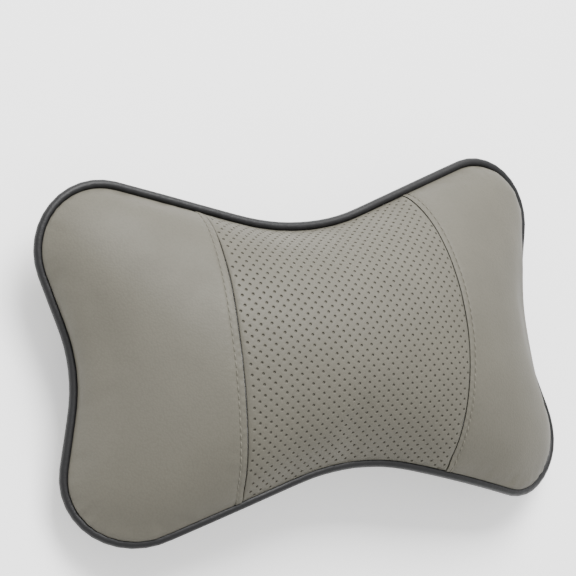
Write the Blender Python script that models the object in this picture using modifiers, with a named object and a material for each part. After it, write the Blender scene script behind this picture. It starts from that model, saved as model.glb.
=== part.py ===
"""A bone-shaped neck pillow for a car seat, lying on its back with its face up.

Three face panels and a back panel are sewn together round a piping. The cover holds a loose
filling, and an elastic band across the back holds the pillow to a headrest.
Metres, +Z up. +X is the pillow's right as it is looked at, and +Y is its top edge.
"""

import math

import bmesh
import bpy
import numpy as np
from mathutils import Matrix, Vector
from mathutils.bvhtree import BVHTree

# Outline of the outer seam, measured along the middle of the piping. The right lobes reach a
# little past the plain width, and the lower right one past the plain height
SEAM_WIDTH = 0.2808
SEAM_HEIGHT = 0.1736
LEFT_UPPER_LOBE_RADIUS = 0.0329
RIGHT_UPPER_LOBE_RADIUS = 0.0294
LEFT_LOWER_LOBE_RADIUS = 0.0328
RIGHT_LOWER_LOBE_RADIUS = 0.0338
RIGHT_LOBE_REACH = 0.0020
RIGHT_LOWER_LOBE_DROP = 0.0011
UPPER_NOTCH_DEPTH = 0.0292
UPPER_NOTCH_RADIUS = 0.1079
LOWER_NOTCH_DEPTH = 0.0229
LOWER_NOTCH_RADIUS = 0.1240
WAIST_DEPTH = 0.010
WAIST_RADIUS = 0.0829

# How the outer seam leaves its plane
END_SWEEP = 0.0216
LOBE_SWAY = 0.0049

# Stuffing, over and under the sheet that the outer seam spans. A lower power is a fuller edge
FACE_CROWN = 0.0391
FACE_POWER = 0.735
FACE_END_POWER = 0.48
BACK_CROWN = 0.040
BACK_POWER = 0.70
FLAT_SPOT_RISE = 0.005
FLAT_SPOT_BLEND = 0.002

# Face seams between the middle panel and the side panels
FACE_SEAM_SPREAD = 0.0591
FACE_SEAM_BOW = 0.0058
FACE_SEAM_LEAN = 0.0039
FACE_SEAM_HALF_HEIGHT = 0.070
FACE_SEAM_DIP = 0.0008
FACE_SEAM_ROLL = 0.0025

# Cover, piping and band
COVER_THICKNESS = 0.0014
RIM_GAP = 0.003
PIPING_RADIUS = 0.0023
BAND_WIDTH = 0.030
BAND_THICKNESS = 0.0014
CLEARANCE = 0.0003

# Fineness of the meshes
ROWS = 16
SIDE_COLUMNS = 9
MIDDLE_COLUMNS = 8
PIPING_POINTS = 150
PIPING_RESOLUTION = 2
BAND_STEPS = 60
ARC_STEP = math.radians(3)

LEFT_LOBES = ((LEFT_UPPER_LOBE_RADIUS, 0, 0), (LEFT_LOWER_LOBE_RADIUS, 0, 0))
RIGHT_LOBES = (
    (RIGHT_UPPER_LOBE_RADIUS, RIGHT_LOBE_REACH, 0),
    (RIGHT_LOWER_LOBE_RADIUS, RIGHT_LOBE_REACH, RIGHT_LOWER_LOBE_DROP),
)


def clear_scene():
    for obj in list(bpy.data.objects):
        bpy.data.objects.remove(obj, do_unlink=True)


# Plan of the pillow

def arc(centre, radius, start, end):
    """Points on an arc from one angle to another."""
    count = max(3, round(abs(end - start) / ARC_STEP))
    angles = np.linspace(start, end, count)
    return np.stack([centre[0] + radius * np.cos(angles), centre[1] + radius * np.sin(angles)], 1)


def quarter(lobe_radius, lobe_reach, lobe_drop, notch_depth, notch_radius, inset):
    """One quarter of the outline, from the waist's middle round the lobe to the notch's middle.

    Waist, lobe and notch are arcs with straight flanks between them. An inset shrinks the lobe
    and widens the hollows about the same centres. The place of the lobe's tip comes with it.
    """
    lobe = np.array([SEAM_WIDTH / 2 + lobe_reach, SEAM_HEIGHT / 2 + lobe_drop]) - lobe_radius
    waist = np.array([SEAM_WIDTH / 2 - WAIST_DEPTH + WAIST_RADIUS, 0.0])
    notch = np.array([0.0, SEAM_HEIGHT / 2 - notch_depth + notch_radius])

    def flank_angle(hollow, hollow_radius, turn):
        """Where, round the lobe, the straight flank leaves it towards a hollow."""
        reach = hollow - lobe
        opening = math.acos(min(1.0, (lobe_radius + hollow_radius) / math.hypot(*reach)))
        return math.atan2(reach[1], reach[0]) + turn * opening

    lower = flank_angle(waist, WAIST_RADIUS, 1)
    upper = flank_angle(notch, notch_radius, -1)
    waist_arc = arc(waist, WAIST_RADIUS + inset, math.pi, lower + math.pi)
    lobe_arc = arc(lobe, lobe_radius - inset, lower, upper)
    notch_arc = arc(notch, notch_radius + inset, upper - math.pi, -math.pi / 2)
    tip = len(waist_arc) + len(lobe_arc) // 2
    return np.concatenate([waist_arc, lobe_arc, notch_arc]), tip


def half_outline(lobes, inset):
    """Half of the outline, from the lower notch's middle up, and the two lobe tips' places.

    Each lobe is given by its radius, and its reach past the plain width and height.
    """
    upper_lobe, lower_lobe = lobes
    upper, upper_tip = quarter(*upper_lobe, UPPER_NOTCH_DEPTH, UPPER_NOTCH_RADIUS, inset)
    lower, lower_tip = quarter(*lower_lobe, LOWER_NOTCH_DEPTH, LOWER_NOTCH_RADIUS, inset)
    lower = (lower * [1, -1])[::-1]
    points = np.concatenate([lower, upper[1:]])
    return points, len(lower) - 1 - lower_tip, len(lower) - 1 + upper_tip


def along(points, shares):
    """Points at the given shares of a line's length."""
    run = np.concatenate([[0.0], np.cumsum(np.linalg.norm(np.diff(points, axis=0), axis=1))])
    at = np.asarray(shares) * run[-1]
    return np.stack([np.interp(at, run, column) for column in points.T], 1)


def middle_x(share, y, lean):
    """Place, at height y, of a line that lies at a share of the way from the middle to a face seam."""
    rise = y / FACE_SEAM_HALF_HEIGHT
    return share * (FACE_SEAM_SPREAD + FACE_SEAM_BOW * (1 - rise ** 2)) + lean * rise


def half_plan(lobes, lean):
    """Plan of half of the cover as a grid of columns and rows, with its face seam's place.

    The grid follows the outline and the face seam. Rows crowd towards the outline, and columns
    towards the end and beside the seam.
    """
    outline, lower_tip, upper_tip = half_outline(lobes, PIPING_RADIUS + CLEARANCE)
    lower_notch = outline[:lower_tip + 1]
    upper_notch = outline[upper_tip:][::-1]
    rows = (1 - np.cos(np.pi * np.arange(ROWS + 1) / ROWS)) / 2
    roll = FACE_SEAM_ROLL / FACE_SEAM_SPREAD

    middle = []
    for share in [*np.linspace(0, 1 - roll, MIDDLE_COLUMNS // 2), 1.0]:
        ends = []
        for notch in (lower_notch, upper_notch):
            y = notch[0, 1]
            for _ in range(30):
                y = np.interp(abs(middle_x(share, y, lean)), notch[:, 0], notch[:, 1])
            ends.append(y)
        y = ends[0] + (ends[1] - ends[0]) * rows
        middle.append(np.stack([middle_x(share, y, lean), y], 1))

    seam = middle[-1]
    steps = np.sin(np.pi / 2 * np.arange(SIDE_COLUMNS + 1) / SIDE_COLUMNS)
    steps = np.insert(steps, 1, roll)
    past_low = np.searchsorted(lower_notch[:, 0], seam[0, 0])
    past_high = np.searchsorted(upper_notch[:, 0], seam[-1, 0])
    low_edge = along(np.concatenate([seam[:1], lower_notch[past_low:]]), steps)
    high_edge = along(np.concatenate([seam[-1:], upper_notch[past_high:]]), steps)
    end_edge = along(outline[lower_tip:upper_tip + 1], rows)
    side = []
    for step, low, high in zip(steps[1:], low_edge[1:], high_edge[1:]):
        across = (1 - step) * seam + step * end_edge
        shift = (1 - rows)[:, None] * (low - across[0]) + rows[:, None] * (high - across[-1])
        side.append(across + shift)

    return np.array(middle + side), len(middle) - 1


def cover_plan():
    """Plan of the whole cover, with the places of the two face seams among its columns."""
    right, reach = half_plan(RIGHT_LOBES, FACE_SEAM_LEAN)
    left = half_plan(LEFT_LOBES, -FACE_SEAM_LEAN)[0] * [-1, 1]
    centre = len(left) - 1
    return np.concatenate([left[:0:-1], right]), centre - reach, centre + reach


# Heights of the stuffed cover

def outer_seam_z(points, inset):
    """Height of the outer seam beside points that lie inset from it: the ends sweep back."""
    x = points[..., 0] / (SEAM_WIDTH / 2 - inset)
    y = points[..., 1] / (SEAM_HEIGHT / 2 - inset)
    return -END_SWEEP * x ** 2 + LOBE_SWAY * y * (3 * x ** 2 - 1)


def stretched_sheet(plan):
    """Solves the plan as a stretched sheet whose edge follows the outer seam.

    It returns the sheet's heights, and the share, from 0 to 1, by which an even pressure lifts
    each of its points.
    """
    columns, rows = plan.shape[:2]
    flat = plan.reshape(-1, 2)
    stiffness = np.zeros((len(flat), len(flat)))
    load = np.zeros(len(flat))
    place = np.arange(len(flat)).reshape(columns, rows)
    cells = np.stack([place[:-1, :-1], place[1:, :-1], place[1:, 1:], place[:-1, 1:]], -1)
    for a, b, c, d in cells.reshape(-1, 4):
        for corners in ((a, b, c), (a, c, d)):
            p, q, r = flat[list(corners)]
            area = abs((q[0] - p[0]) * (r[1] - p[1]) - (q[1] - p[1]) * (r[0] - p[0])) / 2
            for k in range(3):
                here, one, other = corners[k], corners[k - 2], corners[k - 1]
                pull = (flat[one] - flat[here]) @ (flat[other] - flat[here]) / (4 * area)
                stiffness[one, other] -= pull
                stiffness[other, one] -= pull
                stiffness[one, one] += pull
                stiffness[other, other] += pull
                load[here] += area / 3

    edge = np.ones((columns, rows), bool)
    edge[1:-1, 1:-1] = False
    edge = edge.ravel()
    free = ~edge
    level, lift = np.zeros(len(flat)), np.zeros(len(flat))
    level[edge] = outer_seam_z(flat[edge], PIPING_RADIUS + CLEARANCE)
    inner = stiffness[np.ix_(free, free)]
    level[free] = np.linalg.solve(inner, -stiffness[np.ix_(free, edge)] @ level[edge])
    lift[free] = np.linalg.solve(inner, load[free])
    lift = np.maximum(lift, 0) / lift.max()
    return level.reshape(columns, rows), lift.reshape(columns, rows)


def rest_flat(heights):
    """Presses the lowest spots of the back flat, with a soft bend round them."""
    floor = heights.min() + FLAT_SPOT_RISE
    over = heights - floor
    bend = (np.clip(over, -FLAT_SPOT_BLEND, FLAT_SPOT_BLEND) + FLAT_SPOT_BLEND) ** 2
    return np.where(over < FLAT_SPOT_BLEND, floor + bend / (4 * FLAT_SPOT_BLEND), heights), floor


# Sub-parts

def leather(name, colour, roughness):
    material = bpy.data.materials.new(name)
    material.use_nodes = True
    shader = material.node_tree.nodes["Principled BSDF"]
    shader.inputs["Base Color"].default_value = (*colour, 1)
    shader.inputs["Roughness"].default_value = roughness
    shader.inputs["Metallic"].default_value = 0
    return material


def sheet_mesh(plan, heights):
    """A grid primitive laid over the plan at the given heights, with its face up."""
    columns, rows = heights.shape
    sheet = bmesh.new()
    bmesh.ops.create_grid(sheet, x_segments=columns - 1, y_segments=rows - 1, size=0.5)
    for vert in sheet.verts:
        i = round((vert.co.x + 0.5) * (columns - 1))
        j = round((vert.co.y + 0.5) * (rows - 1))
        vert.co = (plan[i, j, 0], plan[i, j, 1], heights[i, j])
    sheet.normal_update()
    return sheet


def add_object(name, sheet, collection, material):
    mesh = bpy.data.meshes.new(name)
    sheet.to_mesh(mesh)
    sheet.free()
    mesh.materials.append(material)
    mesh.shade_smooth()
    obj = bpy.data.objects.new(name, mesh)
    collection.objects.link(obj)
    return obj


def thicken(obj, thickness, offset):
    solid = obj.modifiers.new("Thickness", "SOLIDIFY")
    solid.thickness = thickness
    solid.offset = offset
    solid.use_even_offset = True


def add_panel(name, plan, heights, collection, material, turned=False):
    """A panel of the cover, whose outer side is the given surface."""
    sheet = sheet_mesh(plan, heights)
    if turned:
        bmesh.ops.reverse_faces(sheet, faces=sheet.faces)
    obj = add_object(name, sheet, collection, material)
    thicken(obj, COVER_THICKNESS, -1)
    return obj


def add_filling(plan, face, back, collection, material):
    """The filling, from one face of the cover to the other with a clearance under each skin."""
    filling = bmesh.new()
    for heights, side in ((face, 1), (back, -1)):
        sheet = sheet_mesh(plan, heights)
        shift = {v: v.normal * side * (COVER_THICKNESS + CLEARANCE) for v in sheet.verts}
        for vert, step in shift.items():
            vert.co -= step
        skin = bpy.data.meshes.new("Skin")
        sheet.to_mesh(skin)
        sheet.free()
        filling.from_mesh(skin)
        bpy.data.meshes.remove(skin)
    rim = [edge for edge in filling.edges if edge.is_boundary]
    bmesh.ops.bridge_loops(filling, edges=rim)
    bmesh.ops.recalc_face_normals(filling, faces=filling.faces)
    return add_object("filling", filling, collection, material)


def add_piping(floor, collection, material):
    """A cord round the whole outer seam."""
    right = half_outline(RIGHT_LOBES, 0)[0]
    left = half_outline(LEFT_LOBES, 0)[0] * [-1, 1]
    loop = np.concatenate([right, left[-2:0:-1], right[:1]])
    points = along(loop, np.arange(PIPING_POINTS) / PIPING_POINTS)
    curve = bpy.data.curves.new("piping", "CURVE")
    curve.dimensions = "3D"
    curve.twist_mode = "Z_UP"
    curve.bevel_depth = PIPING_RADIUS
    curve.bevel_resolution = PIPING_RESOLUTION
    spline = curve.splines.new("POLY")
    spline.points.add(PIPING_POINTS - 1)
    heights = outer_seam_z(points, 0) + floor
    for point, (x, y), z in zip(spline.points, points, heights):
        point.co = (x, y, z, 1)
    spline.use_cyclic_u = True
    curve.materials.append(material)
    obj = bpy.data.objects.new("piping", curve)
    collection.objects.link(obj)
    return obj


def add_band(plan, back, floor, collection, material):
    """An elastic band drawn tight over the back, from one waist to the other."""
    sheet = sheet_mesh(plan, back)
    tree = BVHTree.FromBMesh(sheet)
    sheet.free()
    half_width = SEAM_WIDTH / 2 - WAIST_DEPTH - PIPING_RADIUS - CLEARANCE
    seam_floor = floor - END_SWEEP * (1 - WAIST_DEPTH / (SEAM_WIDTH / 2)) ** 2
    end_z = seam_floor - PIPING_RADIUS - 2 * CLEARANCE
    profile = []
    for x in np.linspace(-half_width, half_width, 281)[1:-1]:
        hits = []
        for y in np.linspace(-BAND_WIDTH / 2, BAND_WIDTH / 2, 9):
            hit = tree.ray_cast(Vector((x, y, -1)), Vector((0, 0, 1)))[0]
            if hit:
                hits.append(hit.z)
        if hits and min(hits) < end_z:
            profile.append((x, min(hits)))

    taut = []
    for x, z in profile:
        while len(taut) > 1:
            (ax, az), (bx, bz) = taut[-2:]
            if (bx - ax) * (z - az) - (bz - az) * (x - ax) > 0:
                break
            taut.pop()
        taut.append((x, z))
    line = along(np.array(taut), np.arange(BAND_STEPS + 1) / BAND_STEPS)
    run = np.gradient(line, axis=0)
    out = np.stack([run[:, 1], -run[:, 0]], 1) / np.linalg.norm(run, axis=1)[:, None]
    line = line + out * CLEARANCE

    y = np.array([-BAND_WIDTH / 2, BAND_WIDTH / 2])
    band_plan = np.stack(np.broadcast_arrays(line[:, None, 0], y[None, :]), -1)
    band = sheet_mesh(band_plan, np.repeat(line[:, 1:], 2, axis=1))
    bmesh.ops.reverse_faces(band, faces=band.faces)
    obj = add_object("headrest_band", band, collection, material)
    thicken(obj, BAND_THICKNESS, 1)
    return obj


def main():
    clear_scene()
    pillow = bpy.data.collections.new("Neck pillow")
    bpy.context.scene.collection.children.link(pillow)
    grey = leather("Grey leather", (0.33, 0.32, 0.28), 0.5)
    charcoal = leather("Charcoal leather", (0.05, 0.05, 0.05), 0.45)
    wadding = leather("White wadding", (0.85, 0.85, 0.83), 0.9)
    elastic = leather("Black elastic", (0.03, 0.03, 0.03), 0.8)

    plan, left_seam, right_seam = cover_plan()
    level, lift = stretched_sheet(plan)
    end = (plan[..., 0] / (SEAM_WIDTH / 2)) ** 4
    power = FACE_POWER + (FACE_END_POWER - FACE_POWER) * end
    face = level + FACE_CROWN * lift ** power + RIM_GAP / 2
    for seam in (left_seam, right_seam):
        face[seam] -= FACE_SEAM_DIP * np.minimum(1, 4 * lift[seam])
    back, resting = rest_flat(level - BACK_CROWN * lift ** BACK_POWER - RIM_GAP / 2)
    floor = BAND_THICKNESS + CLEARANCE - resting
    face, back = face + floor, back + floor

    add_filling(plan, face, back, pillow, wadding)
    spans = (
        ("left_face_panel", 0, left_seam),
        ("middle_face_panel", left_seam, right_seam),
        ("right_face_panel", right_seam, len(plan) - 1),
    )
    for name, first, last in spans:
        piece = plan[first:last + 1].copy()
        if first:
            piece[0, :, 0] += CLEARANCE / 2
        if last < len(plan) - 1:
            piece[-1, :, 0] -= CLEARANCE / 2
        add_panel(name, piece, face[first:last + 1], pillow, grey)
    add_panel("back_panel", plan, back, pillow, grey, turned=True)
    add_piping(floor, pillow, charcoal)
    add_band(plan, back, floor, pillow, elastic)
    centre = Matrix.Translation((-RIGHT_LOBE_REACH / 2, RIGHT_LOWER_LOBE_DROP / 2, 0))
    for obj in pillow.objects:
        obj.data.transform(centre)


main()
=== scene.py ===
"""A bone-shaped car neck pillow: a stuffed cover of grey leather with a perforated middle panel."""

import math

import bmesh
import bpy
import numpy as np
from mathutils import Matrix, Vector, noise
from mathutils.bvhtree import BVHTree
from mathutils.geometry import delaunay_2d_cdt
from mathutils.kdtree import KDTree


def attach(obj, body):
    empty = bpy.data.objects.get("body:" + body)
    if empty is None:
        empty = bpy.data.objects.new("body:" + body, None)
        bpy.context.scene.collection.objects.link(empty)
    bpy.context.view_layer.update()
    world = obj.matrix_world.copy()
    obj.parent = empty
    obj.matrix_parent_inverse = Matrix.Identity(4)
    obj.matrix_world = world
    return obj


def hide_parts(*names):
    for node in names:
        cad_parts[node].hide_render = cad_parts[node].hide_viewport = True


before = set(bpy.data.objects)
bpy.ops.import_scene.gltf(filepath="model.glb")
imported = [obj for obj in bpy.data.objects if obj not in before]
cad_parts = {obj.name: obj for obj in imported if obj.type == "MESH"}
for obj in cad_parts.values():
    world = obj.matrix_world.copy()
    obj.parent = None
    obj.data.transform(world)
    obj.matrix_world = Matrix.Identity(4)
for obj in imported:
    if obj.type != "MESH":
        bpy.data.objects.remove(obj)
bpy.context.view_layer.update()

for spare in ("Cube", "Light", "Camera"):
    if spare in bpy.data.objects:
        bpy.data.objects.remove(bpy.data.objects[spare])


# Stuffed face
# The three face panels are sewn into one sheet before they are stuffed. This working sheet is the
# outer side of the three solid skins, welded at the two seams. It is drawn against the piping all
# round, blown up a little as cloth that is held at the seams, and cut into the panels below.
cord_radius = 0.0023
cord_step = 0.001
ring_turn = 0.004
leather_gap = 0.00007
weld = 1e-5
seam_weld = 0.00045
rim_angle = math.radians(58)
quad_angle = math.radians(60)
even_seat = 48.0
seat_change = 26
seat_limits = (18, 76)
lobe_middle = (0.142, -0.063)
lobe_reach = 0.020
lobe_push = (0.00209, -0.00066, 0)
puff_frames = 30


def placed(name, data):
    """A new object in the scene, at the origin."""
    obj = bpy.data.objects.new(name, data)
    bpy.context.scene.collection.objects.link(obj)
    return obj


def make_active(obj):
    """Selects one object alone, for the operators that follow."""
    bpy.ops.object.select_all(action="DESELECT")
    obj.select_set(True)
    bpy.context.view_layer.objects.active = obj


def outer_side(name, skins):
    """Joins the outer sides of solid skins as quads, each with a material place of its own."""
    whole = bmesh.new()
    for place, skin in enumerate(skins):
        side = bmesh.new()
        side.from_mesh(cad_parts[skin].data)
        bmesh.ops.remove_doubles(side, verts=side.verts, dist=weld)
        side.normal_update()
        up = -1 if skin == "back_panel" else 1
        found = {max(side.faces, key=lambda face: up * face.calc_center_median().z)}
        queue = list(found)
        while queue:
            face = queue.pop()
            for edge in face.edges:
                for other in edge.link_faces:
                    if other not in found and face.normal.angle(other.normal) < rim_angle:
                        found.add(other)
                        queue.append(other)
        rest = [face for face in side.faces if face not in found]
        bmesh.ops.delete(side, geom=rest, context="FACES")
        bmesh.ops.join_triangles(
            side,
            faces=side.faces,
            angle_face_threshold=quad_angle,
            angle_shape_threshold=math.pi,
        )
        for face in side.faces:
            face.material_index = place
        piece = bpy.data.meshes.new(skin)
        side.to_mesh(piece)
        side.free()
        whole.from_mesh(piece)
        bpy.data.meshes.remove(piece)
    bmesh.ops.remove_doubles(whole, verts=whole.verts, dist=seam_weld)
    mesh = bpy.data.meshes.new(name)
    whole.to_mesh(mesh)
    whole.free()
    for _ in skins:
        mesh.materials.append(None)
    return placed(name, mesh)


def apply_all(obj):
    make_active(obj)
    for modifier in list(obj.modifiers):
        bpy.ops.object.modifier_apply(modifier=modifier.name)


def smooth(obj, levels):
    sub = obj.modifiers.new("Smooth", "SUBSURF")
    sub.levels = sub.render_levels = levels
    apply_all(obj)


def places(obj):
    spots = np.empty(len(obj.data.vertices) * 3, np.float32)
    obj.data.vertices.foreach_get("co", spots)
    return spots.reshape(-1, 3).astype(float)


def put_places(obj, spots):
    obj.data.vertices.foreach_set("co", spots.astype(np.float32).ravel())
    obj.data.update()


def normals(obj):
    facing = np.empty(len(obj.data.vertices) * 3, np.float32)
    obj.data.vertices.foreach_get("normal", facing)
    return facing.reshape(-1, 3).astype(float)


def seam_points(sheet):
    """The numbers of the vertices on the rim, and of those on a seam between two panels."""
    bm = bmesh.new()
    bm.from_mesh(sheet.data)
    rim = [vert.index for vert in bm.verts if vert.is_boundary]
    seam = [v.index for v in bm.verts if len({face.material_index for face in v.link_faces}) > 1]
    bm.free()
    return rim, seam


def piping_line():
    """The line along the middle of the piping, a point to each ring, round from the left."""
    tube = bmesh.new()
    tube.from_mesh(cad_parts["piping"].data)
    bmesh.ops.remove_doubles(tube, verts=tube.verts, dist=weld)
    tube.normal_update()
    middle = np.array([(vert.co - vert.normal * cord_radius)[:] for vert in tube.verts])
    tube.free()
    angles = np.arctan2(middle[:, 1], middle[:, 0])
    order = np.argsort(angles)
    middle, angles = middle[order], angles[order]
    starts = [0, *(np.flatnonzero(np.diff(angles) > ring_turn) + 1), len(angles)]
    return np.array([middle[first:last].mean(axis=0) for first, last in zip(starts, starts[1:])])


def even_loop(points, step):
    """A closed line of points, spaced evenly."""
    closed = np.concatenate([points, points[:1]])
    run = np.concatenate([[0], np.cumsum(np.linalg.norm(np.diff(closed, axis=0), axis=1))])
    count = round(run[-1] / step)
    at = np.arange(count) * run[-1] / count
    return np.stack([np.interp(at, run, column) for column in closed.T], 1)


def nearest_on(points, spots):
    """For each spot, the nearest of the points and its distance."""
    tree = KDTree(len(points))
    for place, point in enumerate(points):
        tree.insert(point, place)
    tree.balance()
    found = [tree.find(spot) for spot in spots]
    return np.array([hit[1] for hit in found]), np.array([hit[2] for hit in found])


def ridge(distance, middle, width):
    """A bell-shaped rise, which is 1 in its middle."""
    return np.exp(-(((distance - middle) / width) ** 2))


cord_line = even_loop(piping_line(), cord_step)
cord_run = np.roll(cord_line, -1, axis=0) - np.roll(cord_line, 1, axis=0)
cord_run /= np.linalg.norm(cord_run, axis=1)[:, None]
cord_up = np.array([0, 0, 1]) - cord_run[:, 2:] * cord_run
cord_up /= np.linalg.norm(cord_up, axis=1)[:, None]
cord_inward = np.cross(cord_up, cord_run)


def beside_piping(spots, angle, side):
    """Places against the piping, this many degrees up from its inner side, level with the spots."""
    hit, _ = nearest_on(cord_line, spots)
    along = ((spots - cord_line[hit]) * cord_run[hit]).sum(axis=1)[:, None]
    round_by = np.radians(np.broadcast_to(angle, len(hit)))[:, None]
    flank = np.cos(round_by) * cord_inward[hit] + side * np.sin(round_by) * cord_up[hit]
    return cord_line[hit] + along * cord_run[hit] + (cord_radius + leather_gap) * flank


def swollen(spots):
    """How far the firmly packed lower right lobe is pushed out at each place."""
    away = np.hypot(spots[:, 0] - lobe_middle[0], spots[:, 1] - lobe_middle[1])
    return ridge(away, 0, lobe_reach)[:, None] * np.array(lobe_push)


cord_line = cord_line + swollen(cord_line)


def seat(spots, side):
    """How many degrees up the piping the leather reaches. It sags over it at the left and bottom."""
    if side < 0:
        return np.full(len(spots), even_seat)
    hit, _ = nearest_on(cord_line, spots)
    outward = -cord_inward[hit]
    return (even_seat - seat_change * (outward[:, 0] + outward[:, 1])).clip(*seat_limits)


def draw_to_piping(sheet, side):
    """Draws a sheet's rim against the piping, on its upper (1) or lower (-1) flank."""
    rim, _ = seam_points(sheet)
    spots = places(sheet)
    shift = beside_piping(spots[rim], seat(spots[rim], side), side) - spots[rim]
    near, distance = nearest_on(spots[rim], spots)
    put_places(sheet, spots + shift[near] * ridge(distance, 0, 0.005)[:, None])


def tuck(sheet, side):
    """Leads the rim on round the piping's inner flank, in two steps, to where it is sewn."""
    bm = bmesh.new()
    bm.from_mesh(sheet.data)
    for share, drop in ((0.45, 0), (0, 12)):
        rim = [edge for edge in bm.edges if edge.is_boundary]
        kinds = {edge: edge.link_faces[0].material_index for edge in rim}
        mids = {edge: (edge.verts[0].co + edge.verts[1].co) / 2 for edge in rim}
        grown = bmesh.ops.extrude_edge_only(bm, edges=rim)["geom"]
        faces = [item for item in grown if isinstance(item, bmesh.types.BMFace)]
        olds = list(mids)
        tree = KDTree(len(olds))
        for place, edge in enumerate(olds):
            tree.insert(mids[edge], place)
        tree.balance()
        for face in faces:
            face.material_index = kinds[olds[tree.find(face.calc_center_median())[1]]]
            face.smooth = True
        new = [item for item in grown if isinstance(item, bmesh.types.BMVert)]
        spots = np.array([vert.co[:] for vert in new])
        for vert, spot in zip(new, beside_piping(spots, share * seat(spots, side) - drop, side)):
            vert.co = spot
    bm.to_mesh(sheet.data)
    bm.free()


def puff(sheet, pressure, slack, cap):
    """Blows a sheet up as cloth that is held at its rim and seams. No point moves past the cap."""
    rim, seam = seam_points(sheet)
    held = sheet.vertex_groups.new(name="Held")
    held.add(rim + seam, 1.0, "REPLACE")
    before = places(sheet)
    cloth = sheet.modifiers.new("Cloth", "CLOTH")
    cloth.settings.quality = 5
    cloth.settings.use_pressure = True
    cloth.settings.uniform_pressure_force = pressure
    cloth.settings.shrink_min = -slack
    cloth.settings.bending_stiffness = 2
    cloth.settings.vertex_group_mass = "Held"
    cloth.settings.effector_weights.gravity = 0
    cloth.collision_settings.use_collision = False
    for step in range(1, puff_frames + 1):
        bpy.context.scene.frame_set(step)
    apply_all(sheet)
    bpy.context.scene.frame_set(1)
    move = places(sheet) - before
    length = np.linalg.norm(move, axis=1)
    put_places(sheet, before + move * (cap * np.tanh(length / cap) / np.maximum(length, 1e-9))[:, None])
    sheet.vertex_groups.clear()


def pucker(sheet, depth, reach):
    """Small creases that run in from the piping, where the stitching gathers the leather."""
    spots = places(sheet)
    hit, distance = nearest_on(cord_line, spots)
    held, full_from, span = 0.0002, 0.0022, 6
    distance = (distance - cord_radius - held).clip(0)
    bend = np.cross(np.roll(cord_run, span, axis=0), np.roll(cord_run, -span, axis=0))[:, 2]
    gather = 0.55 + (bend[hit] / (2 * span * cord_step) / 30).clip(0, 1)
    wave = []
    for place, away in zip(hit, distance):
        wave.append(
            noise.noise(Vector((place * 0.23, away * 60, sheet.data.vertices[0].co.z)))
            + 0.6 * noise.noise(Vector((place * 0.09, away * 40, 7)))
        )
    fade = (distance / full_from).clip(0, 1) * np.exp(-distance / reach)
    rise = depth * gather * np.array(wave) * fade
    put_places(sheet, spots + normals(sheet) * rise[:, None])


def lumps(sheet, depth, size):
    """The soft unevenness of loose fibre under the leather."""
    spots = places(sheet)
    _, distance = nearest_on(cord_line, spots)
    fade = 1 - ridge(distance, 0, 0.02)
    rise = np.array([noise.noise(Vector(spot) / size + Vector((3, 1, 2))) for spot in spots])
    put_places(sheet, spots + normals(sheet) * (depth * rise * fade)[:, None])


def press_out(sheet, height):
    """Fibre packed firmly into the ends, which swells the face out past the piping at the waists."""
    end_from, end_blend = 0.105, 0.004
    waist_level, waist_half = 0.007, 0.033
    swell_at, swell_width, free_width = 0.010, 0.009, 0.002
    spots = places(sheet)
    _, distance = nearest_on(cord_line, spots)
    swell = ridge(distance, swell_at, swell_width) * (1 - ridge(distance, cord_radius, free_width))
    beside = 1 / (1 + np.exp(-(np.abs(spots[:, 0]) - end_from) / end_blend))
    beside = beside * np.exp(-((np.abs(spots[:, 1] - waist_level) / waist_half) ** 4))
    put_places(sheet, spots + normals(sheet) * (height * swell * beside)[:, None])


face_sheet = outer_side("face_sheet", ["left_face_panel", "middle_face_panel", "right_face_panel"])
smooth(face_sheet, 2)
put_places(face_sheet, places(face_sheet) + swollen(places(face_sheet)))
draw_to_piping(face_sheet, 1)
puff(face_sheet, pressure=40, slack=0.005, cap=0.0016)
press_out(face_sheet, height=0.0022)
flat_rim = face_sheet.data.copy()
tuck(face_sheet, 1)
smooth(face_sheet, 1)
lumps(face_sheet, depth=0.0003, size=0.035)
pucker(face_sheet, depth=0.0005, reach=0.006)


# Side panels
# Two smooth panels of grey synthetic leather. Their edges are turned under and lie on the middle
# panel's edges, where a row of topstitching in thread of the same colour holds them down. The
# thread is painted about a third lighter than the leather, a painted highlight on the raised stitches.
leather_thickness = 0.0012
edge_gap = 0.0002
edge_turn = 0.0004
seam_step = 0.0005
stitch_line = 0.0034
stitch_pitch = 0.0038
stitch_share = 0.8
stitch_shape = (-0.5, -0.42, -0.2, 0.0, 0.2, 0.42, 0.5)
thread_radius = 0.0003
thread_lift = 0.00016
thread_sides = 6


def finish(name):
    """A new material, its nodes, its shader and the places on the object that its pattern reads."""
    paint = bpy.data.materials.new(name)
    paint.use_nodes = True
    tree = paint.node_tree
    where = tree.nodes.new("ShaderNodeTexCoord").outputs["Object"]
    return paint, tree, tree.nodes["Principled BSDF"], where


def mixed(tree, factor, first, second):
    """A node that mixes two colours by a factor, and gives its output."""
    blend = tree.nodes.new("ShaderNodeMix")
    blend.data_type = "RGBA"
    tree.links.new(factor, blend.inputs["Factor"])
    for socket, colour in ((blend.inputs[6], first), (blend.inputs[7], second)):
        if isinstance(colour, tuple):
            socket.default_value = (*colour, 1)
        else:
            tree.links.new(colour, socket)
    return blend.outputs[2]


def pattern_noise(tree, where, scale, detail):
    cloud = tree.nodes.new("ShaderNodeTexNoise")
    cloud.inputs["Scale"].default_value = scale
    cloud.inputs["Detail"].default_value = detail
    tree.links.new(where, cloud.inputs["Vector"])
    return cloud.outputs["Fac"]


def levels(tree, value, low, high, first, second):
    """A value from low to high carried over to the range from first to second."""
    spread = tree.nodes.new("ShaderNodeMapRange")
    for socket, number in zip(("From Min", "From Max", "To Min", "To Max"), (low, high, first, second)):
        spread.inputs[socket].default_value = number
    tree.links.new(value, spread.inputs["Value"])
    return spread.outputs["Result"]


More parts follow.
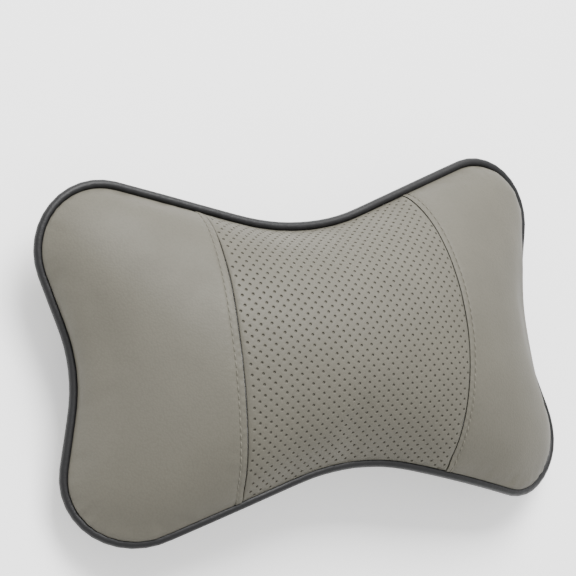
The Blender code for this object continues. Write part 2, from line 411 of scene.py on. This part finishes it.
def raised(tree, height, strength, distance, under=None):
    """A bump from a height, over another bump if one is given."""
    bump = tree.nodes.new("ShaderNodeBump")
    bump.inputs["Strength"].default_value = strength
    bump.inputs["Distance"].default_value = distance
    tree.links.new(height, bump.inputs["Height"])
    if under:
        tree.links.new(under, bump.inputs["Normal"])
    return bump.outputs["Normal"]


def leather(name, colour, worn, grain, roughness, relief, specular=0.34):
    """Embossed leather, or thread: pebbles and creases, cloudy colour and uneven gloss."""
    paint, tree, skin, where = finish(name)
    pebble = tree.nodes.new("ShaderNodeTexVoronoi")
    pebble.feature = "SMOOTH_F1"
    pebble.inputs["Scale"].default_value = grain
    pebble.inputs["Smoothness"].default_value = 0.6
    warp = tree.nodes.new("ShaderNodeVectorMath")
    warp.operation = "MULTIPLY_ADD"
    wander = 0.0012
    warp.inputs[1].default_value = (wander, wander, wander)
    swirl = tree.nodes.new("ShaderNodeTexNoise")
    swirl.inputs["Scale"].default_value = grain / 4
    tree.links.new(where, swirl.inputs["Vector"])
    tree.links.new(swirl.outputs["Color"], warp.inputs[0])
    tree.links.new(where, warp.inputs[2])
    tree.links.new(warp.outputs["Vector"], pebble.inputs["Vector"])
    crease = pebble.outputs["Distance"]
    pores = pattern_noise(tree, where, grain * 2.2, 2)
    clouds = pattern_noise(tree, where, 38, 4)
    tone = mixed(tree, levels(tree, clouds, 0.3, 0.7, 0, 1), colour, worn)
    dark = tuple(part * 0.8 for part in colour)
    shade = mixed(tree, levels(tree, crease, 0.35, 0.75, 0, 0.35), tone, dark)
    tree.links.new(shade, skin.inputs["Base Color"])
    gloss = levels(tree, clouds, 0.25, 0.75, roughness - 0.05, roughness + 0.05)
    tree.links.new(gloss, skin.inputs["Roughness"])
    skin.inputs["Specular IOR Level"].default_value = specular
    fine = raised(tree, pores, 0.25 * relief, 0.0001)
    embossed = raised(tree, levels(tree, crease, 0, 1, 1, 0), relief, 0.0002, fine)
    tree.links.new(embossed, skin.inputs["Normal"])
    return paint


grey_leather = leather(
    "grey_leather", (0.105, 0.0985, 0.0775), (0.097, 0.091, 0.072), grain=950, roughness=0.62, relief=0.3
)
# The thread's colour is the leather's grey painted about a third lighter: a painted highlight for the
# light that the raised stitches catch.
thread = leather(
    "grey_thread_painted_highlight", (0.140, 0.132, 0.105), (0.118, 0.111, 0.088), grain=2600, roughness=0.65, relief=0.6
)


def seam_lines(mesh):
    """Places of the vertices on the left and right seam of a sheet, each from bottom to top."""
    bm = bmesh.new()
    bm.from_mesh(mesh)
    lines = []
    for pair in ({0, 1}, {1, 2}):
        line = [v.co[:] for v in bm.verts if {face.material_index for face in v.link_faces} >= pair]
        lines.append(np.array(sorted(line, key=lambda spot: spot[1])))
    bm.free()
    return lines


def cut_panel(name, mesh, place):
    """A panel of the working sheet, with the edge beside a seam drawn away from it."""
    mesh = mesh.copy()
    panel = placed(name, mesh)
    bm = bmesh.new()
    bm.from_mesh(mesh)
    seam = {v for v in bm.verts if len({face.material_index for face in v.link_faces}) > 1}
    gone = [face for face in bm.faces if face.material_index != place]
    inward = {}
    for vert in seam:
        own = [face.calc_center_median() for face in vert.link_faces if face.material_index == place]
        if own:
            inward[vert] = (sum(own, Vector()) / len(own) - vert.co).normalized()
    bmesh.ops.delete(bm, geom=gone, context="FACES")
    for vert, step in inward.items():
        if vert.is_valid:
            vert.co += step * edge_gap
    for face in bm.faces:
        face.material_index = 0
        face.smooth = True
    bm.to_mesh(mesh)
    bm.free()
    mesh.name = name
    mesh.materials.clear()
    return panel


def refine_beside(panel, line, width):
    """Halves the faces within a width of a seam, so that they can follow its roll."""
    make_active(panel)
    centres = np.array([face.center[:] for face in panel.data.polygons])
    _, distance = nearest_on(line, centres)
    bpy.ops.object.mode_set(mode="EDIT")
    bpy.ops.mesh.select_mode(type="FACE")
    bpy.ops.mesh.select_all(action="DESELECT")
    bpy.ops.object.mode_set(mode="OBJECT")
    for face, away in zip(panel.data.polygons, distance):
        face.select = bool(away < width)
    bpy.ops.object.mode_set(mode="EDIT")
    bpy.ops.mesh.subdivide(number_cuts=1, smoothness=0)
    bpy.ops.object.mode_set(mode="OBJECT")


def roll_seam(panel, line):
    """Raises the turned edge into a soft roll, which the topstitching pulls down behind it."""
    spots = places(panel)
    hit, distance = nearest_on(line, spots)
    edge = 0.00018 * ridge(distance, 0.0012, 0.0013)
    groove = -0.00022 * ridge(distance, stitch_line, 0.0007)
    behind = 0.00008 * ridge(distance, 0.0062, 0.002)
    pull = 0.5 * np.cos(2 * math.pi * hit * seam_step / stitch_pitch)
    pull += 0.6 * np.array([noise.noise(Vector((place * 0.03, 0, 5))) for place in hit])
    put_places(panel, spots + normals(panel) * ((edge + groove + behind) * (1 + pull))[:, None])


def finish_skin(panel):
    """Gives a panel the leather's thickness, inwards."""
    solid = panel.modifiers.new("Thickness", "SOLIDIFY")
    solid.thickness = leather_thickness
    solid.offset = -1
    apply_all(panel)


def turn_edge(panel, line, width):
    """Rounds the edge of a panel along a seam, as leather that is turned under is round."""
    beside_seam, sharp = 0.0006, math.radians(50)
    make_active(panel)
    bpy.ops.object.mode_set(mode="EDIT")
    bpy.ops.mesh.select_mode(type="EDGE")
    bpy.ops.mesh.select_all(action="DESELECT")
    shell = bmesh.from_edit_mesh(panel.data)
    middles = np.array([((edge.verts[0].co + edge.verts[1].co) / 2)[:] for edge in shell.edges])
    _, distance = nearest_on(line, middles)
    for edge, away in zip(shell.edges, distance):
        if away < beside_seam and edge.calc_face_angle(0) > sharp:
            edge.select_set(True)
    bmesh.update_edit_mesh(panel.data)
    bpy.ops.mesh.bevel(offset=width, segments=3, clamp_overlap=True)
    bpy.ops.mesh.select_all(action="SELECT")
    bpy.ops.mesh.faces_shade_smooth()
    bpy.ops.object.mode_set(mode="OBJECT")


def even_line(points, step):
    """An open line of points, spaced evenly."""
    run = np.concatenate([[0], np.cumsum(np.linalg.norm(np.diff(points, axis=0), axis=1))])
    at = np.arange(0, run[-1], step)
    return np.stack([np.interp(at, run, column) for column in points.T], 1)


def surface_of(obj):
    """An object's surface, for finding places on it."""
    corners = [vert.co for vert in obj.data.vertices]
    return BVHTree.FromPolygons(corners, [face.vertices[:] for face in obj.data.polygons])


def stitch_places(surface, seam, ahead, middle):
    """The places and normals along one thread, at the stitch line's distance from the seam."""
    side = -1 if seam[:, 0].mean() < 0 else 1
    found = []
    for part in stitch_shape:
        at = (middle + part * stitch_share * stitch_pitch) / seam_step
        low = min(int(at), len(seam) - 2)
        spot = Vector(seam[low] + (at - low) * (seam[low + 1] - seam[low]))
        run = Vector(ahead[low])
        across = Vector(np.cross(ahead[low], (0, 0, 1)) * side).normalized()
        start = spot + across * stitch_line
        for _ in range(3):
            out = surface.find_nearest(start)[0] - spot
            out -= out.dot(run) * run
            start = spot + out.normalized() * stitch_line
        hit, up, _, _ = surface.find_nearest(start)
        dip = 0.0022 * max(abs(part) - 0.2, 0) ** 1.5
        found.append((hit + up * (thread_lift - dip), up))
    return found


def topstitch(panel, seam):
    """Adds the row of stitches beside a seam, each a short thread that dips in at both ends."""
    surface = surface_of(panel)
    span = 4
    ahead = np.roll(seam, -span, axis=0) - np.roll(seam, span, axis=0)
    ahead[:span], ahead[-span:] = ahead[span], ahead[-span - 1]
    ahead /= np.linalg.norm(ahead, axis=1)[:, None]
    bm = bmesh.new()
    bm.from_mesh(panel.data)
    for number in range(int((len(seam) - 1) * seam_step / stitch_pitch)):
        line = stitch_places(surface, seam, ahead, (number + 0.5) * stitch_pitch)
        last = len(line) - 1
        rings = []
        for k, (spot, up) in enumerate(line):
            along = (line[min(k + 1, last)][0] - line[max(k - 1, 0)][0]).normalized()
            beside = along.cross(up).normalized()
            over = beside.cross(along)
            radius = thread_radius * (0.6 if k in (0, last) else 1)
            ring = []
            for corner in range(thread_sides):
                turn = 2 * math.pi / thread_sides * corner
                away = math.cos(turn) * beside + math.sin(turn) * over
                ring.append(bm.verts.new(spot + radius * away))
            rings.append(ring)
        faces = []
        for first, second in zip(rings, rings[1:]):
            for here in range(thread_sides):
                after = (here + 1) % thread_sides
                faces.append(bm.faces.new((first[here], second[here], second[after], first[after])))
        faces += [bm.faces.new(ring) for ring in (rings[0], rings[-1][::-1])]
        for face in faces:
            face.smooth = True
            face.material_index = 1
    bm.normal_update()
    bm.to_mesh(panel.data)
    bm.free()


left_seam, right_seam = (even_line(seam, seam_step) for seam in seam_lines(face_sheet.data))
for name, node, place, line in (
    ("left_side", "left_face_panel", 0, left_seam),
    ("right_side", "right_face_panel", 2, right_seam),
):
    panel = cut_panel(name, face_sheet.data, place)
    refine_beside(panel, line, width=0.008)
    roll_seam(panel, line)
    finish_skin(panel)
    turn_edge(panel, line, edge_turn)
    panel.data.materials.append(grey_leather)
    panel.data.materials.append(thread)
    topstitch(panel, line)
    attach(panel, "root")
    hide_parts(node)


# Middle panel
# One piece of the same leather, punched all over with round holes in staggered rows before it was
# sewn in. A knitted backing closes each hole at its bottom.
hole_radius = 0.00072
hole_sides = 10
hole_depth = 0.0006
hole_spacing = (0.0056, 0.0052)
hole_margin = 0.0016
lip_width, lip_drop, lip_turn = 0.00032, 0.00006, 0.0001
rim_widths = (0.00018, 0.0003, 0.0006)
rim_drops = (0.0005, 0.00018, 0.0)
outline_step = 0.0009
underside_step = 0.004
grid_half = (0.075, 0.078)
grid_lines = (76, 313)


class FlatPattern:
    """The middle panel laid flat: distances along the flat piece, and where they come to lie."""

    def __init__(self, sheet):
        self.surface = surface_of(sheet)
        self.x = np.linspace(-grid_half[0], grid_half[0], grid_lines[0])
        self.y = np.linspace(-grid_half[1], grid_half[1], grid_lines[1])
        self.heights = np.array([[self.height(x, y) for y in self.y] for x in self.x])
        for column in self.heights:
            known = np.flatnonzero(~np.isnan(column))
            for end, step in ((known[0], -1), (known[-1], 1)):
                slope = column[end] - column[end - step]
                for place in range(end + step, -1 if step < 0 else len(column), step):
                    column[place] = column[place - step] + slope
        runs = np.cumsum(np.hypot(np.diff(self.heights, axis=1), np.diff(self.y)), axis=1)
        self.v = np.concatenate([np.zeros((len(self.x), 1)), runs], axis=1)
        middle = len(self.y) // 2
        self.v -= self.v[:, middle : middle + 1]
        ridge_run = np.cumsum(np.hypot(np.diff(self.x), np.diff(self.heights[:, middle])))
        self.u = np.concatenate([[0], ridge_run])
        self.u -= self.u[len(self.u) // 2]

    def straight_down(self, x, y):
        return self.surface.ray_cast(Vector((x, y, 1)), Vector((0, 0, -1)))[0]

    def height(self, x, y):
        hit = self.straight_down(x, y)
        return hit.z if hit else math.nan

    def column_at(self, x):
        """The grid's column at or left of a plan place, and the share of the way to the next."""
        column = (x - self.x[0]) / (self.x[1] - self.x[0])
        low = min(int(column), len(self.x) - 2)
        return low, column - low

    def flat(self, x, y):
        """Distances on the flat piece of a point over the plan place x, y."""
        low, part = self.column_at(x)
        left, right = (np.interp(y, self.y, self.v[column]) for column in (low, low + 1))
        return np.interp(x, self.x, self.u), (1 - part) * left + part * right

    def plan(self, u, v):
        """The plan place of a point of the flat piece."""
        x = np.interp(u, self.u, self.x)
        low, part = self.column_at(x)
        left, right = (np.interp(v, self.v[column], self.y) for column in (low, low + 1))
        return x, (1 - part) * left + part * right

    def laid(self, u, v):
        """Where a point of the flat piece lies. Past the sheet's edge it is the nearest place."""
        x, y = self.plan(u, v)
        hit = self.straight_down(x, y)
        if hit:
            return hit
        column = round((x - self.x[0]) / (self.x[1] - self.x[0]))
        level = np.interp(y, self.y, self.heights[column])
        return self.surface.find_nearest(Vector((x, y, level)))[0]


def loop_of(obj):
    """The vertices of an open sheet's edge, in order."""
    bm = bmesh.new()
    bm.from_mesh(obj.data)
    start = next(edge for edge in bm.edges if edge.is_boundary)
    line = [start.verts[0], start.verts[1]]
    while True:
        ahead = next(
            e.other_vert(line[-1])
            for e in line[-1].link_edges
            if e.is_boundary and e.other_vert(line[-1]) is not line[-2]
        )
        if ahead is line[0]:
            break
        line.append(ahead)
    spots = np.array([vert.co[:] for vert in line])
    bm.free()
    return spots


def drawn_in(loop, width):
    """A closed flat line moved inwards, to its left if it runs anticlockwise."""
    run = np.roll(loop, -1, axis=0) - np.roll(loop, 1, axis=0)
    side = np.stack([-run[:, 1], run[:, 0]], 1)
    return loop + width * side / np.linalg.norm(side, axis=1)[:, None]


def inside(points, loop):
    """Which points lie inside a closed flat line."""
    ax, ay = loop.T
    bx, by = np.roll(loop, -1, axis=0).T
    x, y = points[:, :1], points[:, 1:]
    crosses = (ay > y) != (by > y)
    left = x < ax + (y - ay) * (bx - ax) / np.where(by == ay, 1e-12, by - ay)
    return (crosses & left).sum(axis=1) % 2 == 1


def triangulated(points, bounds, outline):
    """Corners and triangles between flat points inside an outline, and each corner's own points."""
    corners, _, faces, sources, _, _ = delaunay_2d_cdt([Vector(p) for p in points], bounds, [], 1, 1e-7)
    corners = np.array([corner[:] for corner in corners])
    middles = np.array([corners[list(face)].mean(axis=0) for face in faces])
    return corners, [face for face, real in zip(faces, inside(middles, outline)) if real], sources


def spot_key(u, v):
    """A flat place to the nearest micrometre, by which it is found again."""
    return round(float(u), 6), round(float(v), 6)


whole_middle = cut_panel("whole_middle", flat_rim, 1)
pattern = FlatPattern(face_sheet)
rim_line = even_loop(loop_of(whole_middle), outline_step)
edge = np.array([pattern.flat(x, y) for x, y, z in rim_line])
bpy.data.objects.remove(whole_middle)
if np.sum(edge[:, 0] * np.roll(edge[:, 1], -1) - np.roll(edge[:, 0], -1) * edge[:, 1]) < 0:
    edge = edge[::-1]

columns = np.arange(-28, 29) * hole_spacing[0] / 2
rows = np.arange(-40, 41) * hole_spacing[1] / 2
spots = np.array([(u, v) for u in columns for v in rows])
punched = np.array([(i + j) % 2 == 0 for i in range(len(columns)) for j in range(len(rows))])
kept = inside(spots, drawn_in(edge, hole_margin))
holes, between = spots[kept & punched], spots[kept & ~punched]

around = np.arange(hole_sides) * 2 * math.pi / hole_sides
circle = np.stack([np.cos(around), np.sin(around)], 1)
lips = (holes[:, None] + circle * hole_radius).reshape(-1, 2)
skirts = (holes[:, None] + circle * (hole_radius + lip_width)).reshape(-1, 2)
flat = np.concatenate([*(drawn_in(edge, width) for width in rim_widths), lips, skirts, between])
count = len(edge)
first_lip = len(rim_widths) * count
drop = np.zeros(len(flat))
drop[:first_lip] = np.repeat(rim_drops, count)
drop[first_lip : first_lip + len(lips)] = lip_drop
outline = flat[:count]
bounds = [(k, (k + 1) % count) for k in range(count)]
for start in range(first_lip, first_lip + len(lips), hole_sides):
    bounds += [(start + k, start + (k + 1) % hole_sides) for k in range(hole_sides)]

corners, triangles, sources = triangulated(flat, bounds, outline)
own_point = [points[0] if points else -1 for points in sources]
bm = bmesh.new()
depth_layer = bm.verts.layers.float.new("depth")
for (u, v), point in zip(corners, own_point):
    vert = bm.verts.new((u, v, 0))
    vert[depth_layer] = drop[point] if point >= 0 else 0.0
bm.verts.ensure_lookup_table()
on_lip = [first_lip <= point < first_lip + len(lips) for point in own_point]
floors = []
for triangle in triangles:
    face = bm.faces.new([bm.verts[k] for k in triangle])
    if all(on_lip[k] for k in triangle):
        floors.append(face)
bm.normal_update()
for face in bm.faces:
    if face.normal.z < 0:
        face.normal_flip()
bmesh.ops.dissolve_faces(bm, faces=floors)
floors = [
    face
    for face in bm.faces
    if len(face.verts) == hole_sides and all(vert[depth_layer] > 0 for vert in face.verts)
]
for face in floors:
    face.material_index = 1
for depth in (lip_turn, hole_depth):
    floors = bmesh.ops.extrude_discrete_faces(bm, faces=floors)["faces"]
    for face in floors:
        face.material_index = 1
        for vert in face.verts:
            vert[depth_layer] = depth
rim = [side for side in bm.edges if side.is_boundary]
grown = bmesh.ops.extrude_edge_only(bm, edges=rim)["geom"]
low = [item for item in grown if isinstance(item, bmesh.types.BMVert)]
for vert in low:
    vert[depth_layer] = leather_thickness

low_at = {spot_key(vert.co.x, vert.co.y): vert for vert in low}
grid = np.array(
    [(u, v) for u in np.arange(-0.08, 0.08, underside_step) for v in np.arange(-0.1, 0.1, underside_step)]
)
grid = grid[inside(grid, drawn_in(edge, underside_step / 2))]
corners, triangles, sources = triangulated(np.concatenate([outline, grid]), bounds[:count], outline)
below = []
for (u, v), points in zip(corners, sources):
    vert = low_at.get(spot_key(u, v)) if min(points) < count else None
    if vert is None:
        vert = bm.verts.new((u, v, 0))
        vert[depth_layer] = leather_thickness
    below.append(vert)
for triangle in triangles:
    face = bm.faces.new([below[k] for k in triangle])
    face.normal_update()
    if face.normal.z > 0:
        face.normal_flip()
bm.normal_update()

reach = 0.0012
for vert in bm.verts:
    u, v, _ = vert.co
    here = pattern.laid(u, v)
    side = pattern.laid(u + reach, v) - pattern.laid(u - reach, v)
    rise = pattern.laid(u, v + reach) - pattern.laid(u, v - reach)
    vert.co = here - side.cross(rise).normalized() * vert[depth_layer]
for face in bm.faces:
    face.smooth = True
mesh = bpy.data.meshes.new("middle_panel")
bm.to_mesh(mesh)
bm.free()
middle_panel = placed("middle_panel", mesh)
hole_backing, tree, knit, where = finish("hole_backing")
loops = mixed(tree, pattern_noise(tree, where, 2500, 2), (0.072, 0.067, 0.053), (0.112, 0.105, 0.083))
tree.links.new(loops, knit.inputs["Base Color"])
knit.inputs["Roughness"].default_value = 0.9
middle_panel.data.materials.append(grey_leather)
middle_panel.data.materials.append(hole_backing)
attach(middle_panel, "root")
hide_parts("middle_face_panel")
bpy.data.objects.remove(face_sheet)


# Back panel
# One piece of the same leather without holes, sewn to the face panels at the piping. It lies almost
# flat where it carries the pillow, and the stitching gathers it a little all round.
back_panel = outer_side("back_skin", ["back_panel"])
smooth(back_panel, 2)
put_places(back_panel, places(back_panel) + swollen(places(back_panel)))
draw_to_piping(back_panel, -1)
puff(back_panel, pressure=10, slack=0.001, cap=0.0005)
tuck(back_panel, -1)
smooth(back_panel, 1)
pucker(back_panel, depth=0.0006, reach=0.008)
finish_skin(back_panel)
back_panel.data.materials.clear()
back_panel.data.materials.append(grey_leather)
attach(back_panel, "root")
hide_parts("back_panel")


# Piping
# A cord wrapped in a strip of charcoal leather, sewn into the outer seam all the way round. The
# stitching draws small creases into its inner side.
cord = bpy.data.curves.new("piping_cord", "CURVE")
cord.dimensions = "3D"
cord.bevel_depth = cord_radius
cord.bevel_resolution = 4
route = cord.splines.new("POLY")
route.points.add(len(cord_line) - 1)
weights = np.ones((len(cord_line), 1))
route.points.foreach_set("co", np.concatenate([cord_line, weights], 1).ravel())
route.use_cyclic_u = True
piping = placed("piping_cord", cord)
make_active(piping)
bpy.ops.object.convert(target="MESH")
bpy.ops.object.shade_smooth()
crease_depth, ripple_depth = 0.00022, 0.00009
spots = places(piping)
hit, _ = nearest_on(cord_line, spots)
inner = ((spots - cord_line[hit]) * cord_inward[hit]).sum(axis=1) / cord_radius
creases = []
for place, turned in zip(hit, inner):
    fine = noise.noise(Vector((place * 0.55, turned * 0.4, 2)))
    slow = noise.noise(Vector((place * 0.035, turned * 0.5, 9)))
    creases.append(crease_depth * fine * max(turned + 0.4, 0) + ripple_depth * slow)
put_places(piping, spots + normals(piping) * np.array(creases)[:, None])
charcoal = leather(
    "charcoal_leather",
    (0.010, 0.010, 0.0105),
    (0.008, 0.008, 0.0085),
    grain=1300,
    roughness=0.48,
    relief=0.4,
    specular=0.32,
)
piping.data.materials.append(charcoal)
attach(piping, "root")
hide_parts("piping")


# Filling
# Loose polyester fibre, blown into the cover and pressed together there into one body. The cover
# hides all of it.
def solid_copy(name, node):
    """A merged copy of a frame node, in quads where its triangles pair up."""
    copy = placed(name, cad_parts[node].data.copy())
    make_active(copy)
    bpy.ops.object.mode_set(mode="EDIT")
    bpy.ops.mesh.select_all(action="SELECT")
    bpy.ops.mesh.remove_doubles(threshold=weld)
    bpy.ops.mesh.tris_convert_to_quads(face_threshold=quad_angle, shape_threshold=quad_angle)
    bpy.ops.mesh.faces_shade_smooth()
    bpy.ops.object.mode_set(mode="OBJECT")
    copy.data.materials.clear()
    return copy


tuft_depth = 0.0004
filling = solid_copy("fibre_filling", "filling")
smooth(filling, 2)
spots = places(filling)
tufts = np.array([noise.noise(Vector(spot) * 90) - 0.5 for spot in spots])
put_places(filling, spots + normals(filling) * (tuft_depth * tufts)[:, None])
white_fibre, tree, fibre, where = finish("white_fibre")
strands = pattern_noise(tree, where, 900, 6)
tree.links.new(mixed(tree, strands, (0.62, 0.62, 0.6), (0.82, 0.82, 0.8)), fibre.inputs["Base Color"])
tree.links.new(raised(tree, strands, 0.8, 0.0004), fibre.inputs["Normal"])
fibre.inputs["Roughness"].default_value = 0.95
filling.data.materials.append(white_fibre)
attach(filling, "root")
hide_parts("filling")


# Headrest band
# A flat band of black woven elastic across the back, which holds the pillow to a headrest. Its ends
# are sewn into the outer seam at both waists.
rib_pitch = 0.0016
pick_pitch = 0.0009


def stripes(tree, where, direction, pitch):
    """Even ribs about a pitch apart, across a direction."""
    wave = tree.nodes.new("ShaderNodeTexWave")
    wave.bands_direction = direction
    wave.inputs["Scale"].default_value = 1 / (math.pi * pitch)
    tree.links.new(where, wave.inputs["Vector"])
    return wave.outputs["Fac"]


band = solid_copy("elastic_band", "headrest_band")
soft_edge = band.modifiers.new("Soft edge", "BEVEL")
soft_edge.width = 0.0004
soft_edge.segments = 2
soft_edge.angle_limit = math.radians(50)
apply_all(band)
elastic, tree, woven, where = finish("black_elastic")
ribs = stripes(tree, where, "Y", rib_pitch)
picks = stripes(tree, where, "X", pick_pitch)
tone = mixed(tree, ribs, (0.010, 0.010, 0.011), (0.026, 0.026, 0.028))
tree.links.new(tone, woven.inputs["Base Color"])
tree.links.new(raised(tree, ribs, 0.8, 0.00025, raised(tree, picks, 0.4, 0.0001)), woven.inputs["Normal"])
woven.inputs["Roughness"].default_value = 0.85
band.data.materials.append(elastic)
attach(band, "root")
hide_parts("headrest_band")


# Floor, light and camera
# A plain pale floor under soft light from above and from the top of the picture. The camera looks
# down on the pillow from its left, turned so that the pillow lies in the picture as it does there.
bpy.ops.object.select_all(action="DESELECT")
bpy.ops.mesh.primitive_plane_add(size=30, location=(0, 0, 0))
floor = bpy.context.object
floor.name = "floor"
floor_paint = bpy.data.materials.new("floor_paint")
floor_paint.use_nodes = True
floor_skin = floor_paint.node_tree.nodes["Principled BSDF"]
floor_skin.inputs["Base Color"].default_value = (0.93, 0.93, 0.93, 1)
floor_skin.inputs["Roughness"].default_value = 0.8
floor_skin.inputs["Emission Color"].default_value = (1, 1, 1, 1)
floor_skin.inputs["Emission Strength"].default_value = 0.5
floor.data.materials.append(floor_paint)

roll, tilt, swing = (math.radians(angle) for angle in (10.024, -8.556, 30.71))
to_camera = Matrix.Rotation(roll, 3, "Z") @ Matrix.Rotation(tilt, 3, "X") @ Matrix.Rotation(swing, 3, "Y")
from_camera = to_camera.transposed()
camera_distance = 1.2
aim = Vector((0.0190, -0.0246, 0))
pillow_middle = Vector((-0.0010, 0.00055, 0.04537))
focal_pixels = 2424.3
picture_pixels = 576
eye = from_camera @ (Vector((0, 0, camera_distance)) - aim) + pillow_middle
lens = bpy.data.cameras.new("Camera")
lens.sensor_width = 36
lens.lens = focal_pixels / picture_pixels * lens.sensor_width
camera = placed("Camera", lens)
camera.matrix_world = Matrix.Translation(eye) @ from_camera.to_4x4()
bpy.context.scene.camera = camera


def soft_light(name, place, size, energy):
    """A square lamp that faces the pillow. Its place is in the camera's right, up and back."""
    lamp = bpy.data.lights.new(name, "AREA")
    lamp.size = size
    lamp.energy = energy
    where = from_camera @ Vector(place) + pillow_middle
    facing = (-where).to_track_quat("-Z", "Y").to_matrix().to_4x4()
    placed(name, lamp).matrix_world = Matrix.Translation(where) @ facing


soft_light("Key", (0.55, 1.15, 0.85), size=0.9, energy=56)
sky = bpy.data.worlds.new("Studio")
sky.use_nodes = True
glow = sky.node_tree.nodes["Background"]
glow.inputs["Color"].default_value = (1, 1, 1, 1)
glow.inputs["Strength"].default_value = 1.1
bpy.context.scene.world = sky
